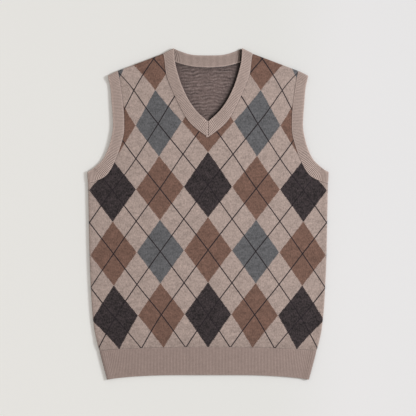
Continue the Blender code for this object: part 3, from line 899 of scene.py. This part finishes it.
def armhole_lines():
    """Seam and edge lines of an armhole band, a flattened ring, and its front's columns.

    It runs over the front from shoulder to underarm, turns, and comes back beneath.
    """
    curves = [beside(smooth(ARM_SEAM), -SEAM_GAP), smooth(ARM_EDGE)]
    over = half_ribs_along(*curves) * STEPS
    seam_along = np.linspace(FOLD, length(curves[0]) - FOLD, over + 1)
    edge_along = square_across(*curves, seam_along, ARM_FOLD, length(curves[1]) - ARM_FOLD)
    hump = np.sin(math.pi * np.linspace(0, 1, over + 1)) ** HUMP

    def line(curve, radius, lift, upwards, depth):
        down, along, reach = curve[::-1], upwards[::-1], length(curve) - radius
        rise = (2 * radius - FRONT_TOP) * settle(np.minimum(along - radius, reach - along))
        return np.vstack([
            raised(curve, along, rise + lift * hump, depth),
            turn(down, down, radius, FOLD_ANGLES, depth),
            lying(curve, upwards, depth),
            turn(curve, curve, radius, FOLD_ANGLES[::-1], depth),
        ])

    alongs = evenly_spaced(seam_along, edge_along)
    return four_lines(line, curves, (FOLD, ARM_FOLD), (0, ARM_LIFT), alongs), over


def arm_rib(name, node, lines, over, flipped, material):
    """An armhole band: a ring, ribbed above on the front and turned under along the back."""
    outer, inner, share, width = two_faces(lines, BAND_ROWS)
    columns = len(outer)
    under = turned_under(columns, over)
    under -= turned_under(columns, 2 * over, 2 - UNDER_BY, 2 - UNDER_FROM)
    outer, inner = dress(outer, inner, share, width, 1 - under, under, 0)
    section = band_section(outer, inner)
    if flipped:
        section = mirrored(section)
    uv = band_uv(share * width / COURSE, ring=True)
    along = abs(over - np.arange(columns)) * length(smooth(ARM_SEAM)) / over
    calm = 1 - UNDERARM_CALM * settle(along, UNDERARM_CALM_RUN)
    tone = round_section(band_painted_light(share, width, opening(along, *UNDERARM_OPEN) * calm))
    piece = tube(name, section, uv, tone, material, ring=True)
    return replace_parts(piece, node)


def hem_lines(on_top):
    """Half a hem band's seam and edge lines, with a quarter turn at the side."""
    curves = [beside(smooth(HEM_SEAM), -SEAM_GAP), smooth(HEM_EDGE)]
    flat, turned = half_ribs_along(*curves) * STEPS, SIDE_COLUMNS
    angles = math.pi / 2 * np.arange(1, turned + 1) / turned
    for curve in curves:
        curve[0, 0] = 0
    # The ribs stand upright, so the longer seam takes the spare length up at the side.
    reach, ahead = min(length(curve) for curve in curves) - FOLD, np.linspace(0, 1, flat + 1)

    def line(curve, depth):
        along = reach * ahead + (length(curve) - FOLD - reach) * ahead**HEM_TAKE_UP
        bend = turn(curve, curve, FOLD, angles, depth)
        bend[-1, 2] += SEAM_GAP / 2
        if not on_top:
            bend[:, 2] = 2 * FOLD - bend[:, 2]
            return np.vstack([lying(curve, along, depth), bend])
        rise = (2 * FOLD - FRONT_TOP) * settle(along[-1] - along)
        return np.vstack([raised(curve, along, rise, depth), bend])

    return four_lines(line, curves)


def hem_rib(name, node, lines, on_top, material):
    """One half of the hem band: its ribs are low, and lowest beside the folds."""
    outer, inner, share, width = two_faces(lines, HEM_BAND_ROWS)
    from_side = outer[-1, 0, 0] - outer[:, 0, 0]
    relief = HEM_RIBS - (HEM_RIBS - HEM_SIDE_RIBS) * bell(from_side, HEM_CALM_RUN)
    outer, inner = dress(outer, inner, share, width, on_top, not on_top, 0, relief=relief)
    shaded = -SIDE_PAINTED_SHADE * bell(from_side, SIDE_PAINTED_SHADE_RUN)
    painted_lights = [band_painted_light(share, width, 0, HEM_CAST_OFF_HIGHLIGHT, tone, tone) for tone in (shaded, 0)]
    piece = whole_band(name, outer, inner, share * width / COURSE, painted_lights, material)
    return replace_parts(piece, node)


# ---- linked seams

CHAIN_PITCH = 2.6 * MM
CHAIN_STEPS = 5
CHAIN_AROUND = 8
CHAIN_WAIST = 0.25  # share by which a chain stitch narrows at its ends
CHAIN_END = 0.3  # share of its size at the row's two ends
CHAIN_ASIDE = -1.2 * MM  # from the band's own edge, back on to the band
CHAIN_WIDE, CHAIN_HIGH, CHAIN_SINK = 0.95 * MM, 0.75 * MM, 0.45 * MM
HEM_CHAIN_HIGH, HEM_CHAIN_SINK = 0.45 * MM, 0.6 * MM
MITRE_X, MITRE_WIDE, MITRE_HIGH, MITRE_CLEAR = -2.4 * MM, 1.6 * MM, 0.9 * MM, 0.1 * MM
MITRE_TOP = 0.6 * MM  # the mitre's row stops this far below the point of the V
MITRE_POINTS = 30


def chain(name, path, up, half_width, rise, material):
    """A row of chain stitches: an ellipse carried along a path, narrowing once a stitch."""
    run = run_lengths(path)
    count = int(run[-1] / CHAIN_PITCH) * CHAIN_STEPS
    along = np.linspace(0, run[-1], count + 1)
    centre, up = (
        np.stack([np.interp(along, run, line[:, k]) for k in range(3)], -1) for line in (path, up)
    )
    side = unit(np.cross(np.gradient(centre, axis=0), up))
    waist = 0.5 + 0.5 * np.cos(2 * math.pi * np.arange(count + 1) / CHAIN_STEPS)
    swell = 1 - CHAIN_WAIST * waist
    swell[[0, -1]] = CHAIN_END
    angle = 2 * math.pi * np.arange(CHAIN_AROUND) / CHAIN_AROUND
    ellipse = half_width * np.cos(angle)[:, None] * side[:, None]
    ellipse = ellipse + rise * np.sin(angle)[:, None] * unit(up)[:, None]
    section = centre[:, None] + swell[:, None, None] * ellipse
    stitch = np.arange(count + 1)[:, None] / CHAIN_STEPS
    turned = np.arange(CHAIN_AROUND + 1)[None] / CHAIN_AROUND
    uv = np.stack(np.broadcast_arrays(stitch, turned), -1)
    tone = np.zeros(section.shape[:2])
    return tube(name, section, uv, tone, material)


def seam_path(lines, face, columns, sink=CHAIN_SINK):
    """Path and upward direction of a chain beside a band's seam, sunk into the cloth."""
    seam, edge = lines[face][:, columns]
    up = unit(seam - lines[1 - face, 0, columns])
    return seam + CHAIN_ASIDE * unit(seam - edge) - sink * up, up


def linked(name, path, up, material, rise=CHAIN_HIGH):
    """A chain along a path that starts on the centre line, and along its mirror image."""
    path, up = (joined(mirrored(line), line) for line in (path, up))
    return chain(name, path, up, CHAIN_WIDE, rise, material)


def mitre_linking(material):
    """A chain up the mitre, from the neck seam's point to just below the point of the V."""
    foot, peak = NECK_SEAM[0][1] * MM, NECK_EDGE[0][1] * MM
    y = np.linspace(foot, peak - MITRE_TOP, MITRE_POINTS)
    z = FRONT_TOP + MITRE_CLEAR + V_LIFT * (1 - settle(y - foot, peak - foot))
    path = np.column_stack([np.full(MITRE_POINTS, MITRE_X), y, z])
    up = np.tile([0.0, 0.0, 1.0], (MITRE_POINTS, 1))
    return chain("mitre_linking", path, up, MITRE_WIDE, MITRE_HIGH, material)


# ---- yarn colours and stitches

def dye(*rgb):
    """A colour's 0 to 255 display numbers as linear ones, by the sRGB rule, and its alpha."""
    s = np.array(rgb) / 255
    return (*np.where(s > 0.04045, ((s + 0.055) / 1.055) ** 2.4, s / 12.92).tolist(), 1.0)


TAUPE = dye(178, 159, 151)
BROWN = dye(122, 92, 80)
BLUE_GREY = dye(100, 100, 103)
CHARCOAL = dye(54, 46, 48)
RAKER = dye(38, 30, 35)
FLOAT_BASE = dye(113, 97, 94)
# The rows' light and dark colours are partly the loose yarns' own and partly painted light and shade
# of their ripples
# Colour, share of it that goes by the row and by the patch, a slope's two ends, and strength
FLOAT_ROW_LIGHT_AND_SHADE = [
    (dye(141, 126, 122), 0.9, 2.4, 0.2, 1.3, 0.7), (dye(76, 64, 63), -0.9, 2.2, 0.3, 1.4, 0.75),
]
RIB, RIB_SHADING = dye(183, 163, 155), 0.1  # and how much darker painted shade makes its valleys
HEM_RIB, HEM_RIB_SHADING = dye(164, 144, 137), 0.06
LINKING = dye(186, 166, 159)
WOOL_ROUGH, WOOL_NAP, NAP_ROUGH, SHINE = 0.92, 0.12, 0.6, 0.2
V_RISE = 0.55  # courses that a stitch's legs climb from its foot to its shoulders
# Powers of the arches across and along a stitch's leg, and how high its ends are
LEG_ROUND, END_ROUND, END_LOW = 0.6, 0.5, 0.55
STITCH_RELIEF = 0.35 * MM
LINK_RELIEF = 0.2 * MM
# Painted shade in a stitch's hollows: slope and foot of its brightness against its relief
KNIT_SHADE, FLOAT_SHADE, RIB_SHADE, LINK_SHADE = (0.24, 0.83), (0.3, 0.86), (0.14, 0.9), (0.3, 0.75)
# Clouds of light and dark fibre: their size, detail, stretch up the wales, and strength
HEATHER = [(2.4 * MM, 1.0, 1.7, 0.78), (8 * MM, 2.0, 0.6, 0.58), (24 * MM, 2.0, 0.7, 0.22)]
CHANCE = 0.16  # how far one stitch's brightness may stray
DIAMOND_HEATHER, CHARCOAL_HEATHER = 0.35, 1.6  # how much more of both the diamonds show
FLOAT_HEATHER, RIB_HEATHER, LINK_HEATHER = 1.3, 0.35, 0.8
RAKER_STITCHES = 1.4  # breadth of a raker line
TOP_ROW = 1.4  # rows of diamonds above the first, over which all the dark ones are blue-grey
# Off a crest: where the valley begins and is whole, and where the legs end; and its depth
RIB_VALLEY, RIB_LEG, VALLEY_DEPTH = (0.55, 0.95), 0.62, 0.4
FLOAT_PITCH = 6.8  # mm between the rows of loose yarn
FLOAT_BENDS = [(24 * MM, 2.0, 3.1, 15), (9 * MM, 1.0, 5.7, 5)]  # size, detail, shift, mm
FLOAT_PATCHES = (11 * MM, 2.0, (1.8, 0.7, 1), 1.7)  # size, detail, stretch, shift
BEAD_SHARE, ROW_SHARE = 0.5, 0.3  # of the wrong side's relief: its stitches and its rows
COLOUR_MIX = (0, 6, 7)  # a mixing node's inputs: the share and the two colours


class Number:
    """A number that a material's nodes work out, so that a pattern reads as a sum."""

    def __init__(self, tree, socket):
        self.tree, self.socket = tree, socket

    def math(self, operation, *others):
        """The result of one of the nodes' own operations on this number and the others."""
        node = self.tree.nodes.new("ShaderNodeMath")
        node.operation = operation
        for place, value in zip(node.inputs, (self, *others)):
            plug(self.tree, value, place)
        return Number(self.tree, node.outputs[0])

    __add__ = partialmethod(math, "ADD")
    __sub__ = partialmethod(math, "SUBTRACT")
    __mul__ = partialmethod(math, "MULTIPLY")
    __abs__ = partialmethod(math, "ABSOLUTE")
    floor = partialmethod(math, "FLOOR")
    fraction = partialmethod(math, "FRACT")
    below = partialmethod(math, "LESS_THAN")
    above = partialmethod(math, "GREATER_THAN")
    least = partialmethod(math, "MINIMUM")
    greatest = partialmethod(math, "MAXIMUM")
    sine = partialmethod(math, "SINE")
    power = partialmethod(math, "POWER")

    def nearest(self):
        """The nearest whole number."""
        return (self + 0.5).floor()

    def otherwise(self):
        """1 less the number."""
        return self * -1.0 + 1.0

    def odd(self):
        """1 for an odd whole number and 0 for an even one."""
        return (self * 0.5).fraction().above(0.25)

    def arch(self, power=1.0):
        """An arch over the numbers from 0 to 1: half a sine wave, raised to a power."""
        return (self * math.pi).sine().power(power)

    def within(self, low, high):
        """0 below low, 1 above high, an eased slope between."""
        node = self.tree.nodes.new("ShaderNodeMapRange")
        node.interpolation_type = "SMOOTHSTEP"
        for key, value in (("Value", self), ("From Min", low), ("From Max", high)):
            plug(self.tree, value, node.inputs[key])
        return Number(self.tree, node.outputs["Result"])


def plug(tree, value, place):
    """Joins a socket or a Number to an input, or writes a plain value there."""
    if isinstance(value, Number):
        tree.links.new(value.socket, place)
    elif isinstance(value, bpy.types.NodeSocket):
        tree.links.new(value, place)
    else:
        place.default_value = value


class Wool:
    """A matt wool material: its stitch numbers, its noises and its shader."""

    def __init__(self, name):
        self.material = bpy.data.materials.new(name)
        self.material.use_nodes = True
        self.tree = self.material.node_tree
        self.shader = self.tree.nodes["Principled BSDF"]
        uv = self.new("ShaderNodeUVMap")
        uv.uv_map = "stitches"
        parts = self.new("ShaderNodeSeparateXYZ", Vector=uv.outputs[0])
        self.u, self.v = (Number(self.tree, parts.outputs[k]) for k in (0, 1))
        self.place = self.new("ShaderNodeTexCoord").outputs["Object"]
        # The points' painted light: painted highlights and painted shade laid on the yarn's colour
        tone = self.new("ShaderNodeAttribute")
        tone.attribute_name = "tone"
        self.tone = Number(self.tree, tone.outputs["Fac"])

    def new(self, kind, **inputs):
        """A new node of this kind, its inputs joined or filled in by name."""
        node = self.tree.nodes.new(kind)
        for key, value in inputs.items():
            plug(self.tree, value, node.inputs[key])
        return node

    def cloud(self, size, detail=2.0, stretch=(1, 1, 1), shift=0.0):
        """Noise about 0, its lumps this many metres across, drawn out along the axes."""
        scale = tuple(1 / (size * s) for s in stretch)
        mapping = self.new("ShaderNodeMapping", Vector=self.place, Scale=scale, Location=(shift,) * 3)
        noise = self.new("ShaderNodeTexNoise", Vector=mapping.outputs[0], Scale=1.0, Detail=detail)
        return Number(self.tree, noise.outputs[0]) - 0.5

    def speck(self, first, second):
        """A random number about 0 for each pair of whole numbers, the same over a stitch."""
        pair = self.new("ShaderNodeCombineXYZ", X=first, Y=second)
        noise = self.new("ShaderNodeTexWhiteNoise", Vector=pair.outputs[0])
        return Number(self.tree, noise.outputs["Value"]) - 0.5

    def over(self, share, under, top):
        """The top colour laid on the one under it by its share, from 0 to 1."""
        mix = self.tree.nodes.new("ShaderNodeMix")
        mix.data_type = "RGBA"
        for place, value in zip(COLOUR_MIX, (share, under, top)):
            plug(self.tree, value, mix.inputs[place])
        return mix.outputs[2]

    def shade(self, colour, amount):
        """The colour with its brightness multiplied by the amount."""
        value = self.new("ShaderNodeHueSaturation", Color=colour, Value=amount)
        return value.outputs[0]

    def finish(self, colour, relief, rise=STITCH_RELIEF, rough=WOOL_ROUGH, nap=WOOL_NAP):
        """Joins the colour and the stitches' relief, rising this many metres, to the shader."""
        bump = self.new("ShaderNodeBump", Height=relief, Distance=rise, Strength=1.0)
        for key, value in (
            ("Base Color", colour), ("Normal", bump.outputs[0]), ("Roughness", rough),
            ("Sheen Weight", nap), ("Sheen Roughness", NAP_ROUGH), ("Specular IOR Level", SHINE),
        ):
            plug(self.tree, value, self.shader.inputs[key])
        return self.material


def heather(wool, cell, relief, shade, depth=1.0):
    """Brightness about 1: clouds of three sizes, a little chance in every stitch, painted shade by
    relief.
    """
    stray = cell * CHANCE
    for size, detail, tall, strength in HEATHER:
        stray = stray + wool.cloud(size, detail, stretch=(1, tall, 1)) * strength
    # Painted shade of the stitches' hollows, times the points' painted light and shade
    return (stray * depth + 1.0) * (wool.tone + 1.0) * (relief * shade[0] + shade[1])


def rising_legs(wool, leg, shift=0.0):
    """Course of the stitch that holds a point, and the height of its two rising legs there."""
    climb = wool.v - leg * V_RISE + shift
    ends = climb.fraction().arch(END_ROUND) * (1 - END_LOW) + END_LOW
    return climb.floor(), leg.arch(LEG_ROUND) * ends


def raker_lines(wool):
    """1 on the rakers, which run straight through the stitches they are sewn over."""
    u, v = wool.u * (1 / DIAMOND_WALES), wool.v * (1 / DIAMOND_COURSES)
    reach = RAKER_STITCHES / 2 / DIAMOND_WALES
    rising, falling = (abs(line - line.nearest()).below(reach) for line in (u + v, u - v))
    return rising.greatest(falling)


def argyle_wool():
    """Diamonds by stitch: with p = u + v and q = u - v in diamonds, each whole p and q is a
    coloured diamond where their sum is even, and the rakers run where either is whole.

    A diamond is brown where p is odd. The others are blue-grey where half the sum is odd, and
    in the top row, and charcoal elsewhere.
    """
    wool = Wool("argyle wool")
    wale = wool.u.floor()
    course, relief = rising_legs(wool, abs(wool.u.fraction() - 0.5) * 2, 0.5)
    u, v = (wale + 0.5) * (1 / DIAMOND_WALES), course * (1 / DIAMOND_COURSES)
    p, q = (u + v).nearest(), (u - v).nearest()
    coloured, brown, blue = (p + q).odd().otherwise(), p.odd(), ((p + q) * 0.5).odd()
    top_row = ((p - q) * 0.5).above(TOP_ROW)
    dark = wool.over(blue.greatest(top_row), CHARCOAL, BLUE_GREY)
    knitted = wool.over(coloured, TAUPE, wool.over(brown, dark, BROWN))
    charcoal = coloured * brown.otherwise() * blue.otherwise()
    depth = coloured * DIAMOND_HEATHER + charcoal * CHARCOAL_HEATHER + 1.0
    amount = heather(wool, wool.speck(wale, course), relief, KNIT_SHADE, depth)
    return wool.finish(wool.shade(wool.over(raker_lines(wool), knitted, RAKER), amount), relief)


def float_wool():
    """The wrong side: loose yarns in wavy rows, partly painted light where they float, shade between.
    """
    wool = Wool("float wool")
    y = wool.v * (COURSE / MM)
    for size, detail, shift, reach in FLOAT_BENDS:
        y = y + wool.cloud(size, detail, shift=shift) * reach
    rows = (y * (2 * math.pi / FLOAT_PITCH)).sine()
    patches, colour = wool.cloud(*FLOAT_PATCHES), FLOAT_BASE
    for tint, by_row, by_patch, low, high, share in FLOAT_ROW_LIGHT_AND_SHADE:
        found = (rows * by_row + patches * by_patch).within(low, high)
        colour = wool.over(found * share, colour, tint)
    bead = wool.u.fraction().arch() * wool.v.fraction().arch()
    cell = wool.speck(wool.u.floor(), wool.v.floor())
    amount = heather(wool, cell, bead, FLOAT_SHADE, FLOAT_HEATHER)
    return wool.finish(wool.shade(colour, amount), bead * BEAD_SHARE + rows * ROW_SHARE)


def rib_wool(name, colour, shading):
    """Knit columns of upright stitches on the crests, purl columns in the valleys in painted shade.
    """
    wool = Wool(name)
    from_crest = abs(wool.u.fraction() - 0.5) * 2
    course, legs = rising_legs(wool, (from_crest * (1 / RIB_LEG)).least(1.0))
    valley = from_crest.within(*RIB_VALLEY)
    relief = legs - valley * VALLEY_DEPTH
    amount = heather(wool, wool.speck(wool.u.floor(), course), relief, RIB_SHADE, RIB_HEATHER)
    return wool.finish(wool.shade(colour, amount * (valley * -shading + 1.0)), relief)


def linking_wool():
    """Chain stitches end to end: lit in the middle of each and dark where two meet."""
    wool = Wool("linking wool")
    waist = wool.u.fraction().arch(END_ROUND)
    cell = wool.speck(wool.u.floor(), wool.v.floor())
    amount = heather(wool, cell, waist, LINK_SHADE, LINK_HEATHER)
    return wool.finish(wool.shade(LINKING, amount), waist, LINK_RELIEF)


FLOOR_LEFT, FLOOR_RIGHT = dye(232, 232, 230), dye(238, 237, 238)
FLOOR_TURN = (0.1, 0.32)  # x between which the one turns into the other
FLOOR_CLOUD, FLOOR_STRAY = 0.35, 0.012  # size of the board's clouds, and their strength
FLOOR_GRAIN, FLOOR_RELIEF, FLOOR_ROUGH = 0.6 * MM, 0.02 * MM, 0.85
ROOM_COLOUR, ROOM_STRENGTH = (1.0, 0.955, 0.91, 1.0), 0.6
WINDOW_AWAY, WINDOW_SIZE, WINDOW_COLOUR = 2.6, 0.6, (0.93, 0.97, 1.0)
WINDOW_RISE, WINDOW_TURN = math.radians(38), math.radians(11)
WINDOW_POWER = 42.0
KEY_SHARE = 0.41  # of the light on the floor's middle, the part that comes from the window
WINDOW_AT = (
    WINDOW_AWAY * math.cos(WINDOW_RISE) * math.cos(WINDOW_TURN),
    WINDOW_AWAY * math.cos(WINDOW_RISE) * math.sin(WINDOW_TURN),
    WINDOW_AWAY * math.sin(WINDOW_RISE),
)


def floor_finish():
    """Plain pale board, cooler to the right, paler where less of the window's light falls."""
    board = Wool("pale board")
    parts = board.new("ShaderNodeSeparateXYZ", Vector=board.place)
    right = Number(board.tree, parts.outputs[0]).within(*FLOOR_TURN)
    colour = board.over(right, FLOOR_LEFT, FLOOR_RIGHT)
    away = board.new("ShaderNodeVectorMath")
    away.operation = "DISTANCE"
    plug(board.tree, board.place, away.inputs[0])
    plug(board.tree, WINDOW_AT, away.inputs[1])
    near = Number(board.tree, away.outputs["Value"]) * (1 / WINDOW_AWAY)
    lit = near.power(-3.0) * KEY_SHARE + (1 - KEY_SHARE)
    amount = (board.cloud(FLOOR_CLOUD, 1.0) * FLOOR_STRAY + 1.0) * lit.power(-1.0)
    grain = board.cloud(FLOOR_GRAIN, 1.0)
    return board.finish(board.shade(colour, amount), grain, FLOOR_RELIEF, FLOOR_ROUGH, 0.0)


# ---- the vest put together

argyle, floats = argyle_wool(), float_wool()
rib = rib_wool("rib wool", RIB, RIB_SHADING)
hem_yarn = rib_wool("hem rib wool", HEM_RIB, HEM_RIB_SHADING)
linking = linking_wool()

front = front_knit(argyle, floats)
back = back_knit(argyle, floats)

neck_lines, neck_front = half_neckband()
neck = neck_rib(neck_lines, neck_front, rib)
arm_lines, arm_over = armhole_lines()
arms = [
    arm_rib(f"arm_rib_{side}", f"armhole_band_{side}", arm_lines, arm_over, flipped, rib)
    for side, flipped in (("left", False), ("right", True))
]
hem_tops, hem_unders = hem_lines(True), hem_lines(False)
hem_front = hem_rib("hem_rib_front", "hem_band_front", hem_tops, True, hem_yarn)
hem_back = hem_rib("hem_rib_back", "hem_band_back", hem_unders, False, hem_yarn)

on_front = slice(0, neck_front + FOLD_COLUMNS // 2)
on_back = np.arange(neck_lines.shape[2] - 1, neck_front + FOLD_COLUMNS, -1)
neck_chain = linked("neck_linking", *seam_path(neck_lines, 0, on_front), linking)
yoke_chain = linked("back_neck_linking", *seam_path(neck_lines, 1, on_back), linking)
arm_columns = np.arange(-FOLD_COLUMNS // 2, arm_over + FOLD_COLUMNS // 2)
arm_path, arm_up = seam_path(arm_lines, 0, arm_columns)
arm_chains = [
    chain(f"arm_linking_{side}", flip(arm_path), flip(arm_up), CHAIN_WIDE, CHAIN_HIGH, linking)
    for side, flip in (("left", np.array), ("right", mirrored))
]
hem_seam = seam_path(hem_tops, 0, slice(0, -2), HEM_CHAIN_SINK)
hem_chain = linked("hem_linking", *hem_seam, linking, HEM_CHAIN_HIGH)
mitre_chain = mitre_linking(linking)

# ---- floor, light and camera

FLOOR_HALF = 3.0
FLOOR_DROP = 0.05 * MM
CAMERA_Y, CAMERA_HEIGHT = 0.0125, 2.408
CAMERA_LENS, CAMERA_SENSOR = 100, 36  # mm

signs = ((-1, -1), (1, -1), (1, 1), (-1, 1))
corners = [(x * FLOOR_HALF, y * FLOOR_HALF, -FLOOR_DROP) for x, y in signs]
floor_mesh = bpy.data.meshes.new("floor")
floor_mesh.from_pydata(corners, [], [(0, 1, 2, 3)])
floor_mesh.materials.append(floor_finish())
floor = in_scene("floor", floor_mesh)

scene = bpy.context.scene
scene.view_settings.view_transform = "Standard"
world = bpy.data.worlds.new("soft room")
world.use_nodes = True
room = world.node_tree.nodes["Background"].inputs
room["Color"].default_value = ROOM_COLOUR
room["Strength"].default_value = ROOM_STRENGTH
scene.world = world

lamp = bpy.data.lights.new("window", "AREA")
lamp.shape = "DISK"
lamp.size = WINDOW_SIZE
lamp.energy = WINDOW_POWER
lamp.color = WINDOW_COLOUR
window = in_scene("window", lamp)
window.location = WINDOW_AT
window.rotation_euler = mathutils.Vector(WINDOW_AT).to_track_quat("Z", "Y").to_euler()
window.visible_camera = False

lens = bpy.data.cameras.new("camera")
lens.lens = CAMERA_LENS
lens.sensor_width = CAMERA_SENSOR
camera = in_scene("camera", lens)
camera.location = (0, CAMERA_Y, CAMERA_HEIGHT)
scene.camera = camera
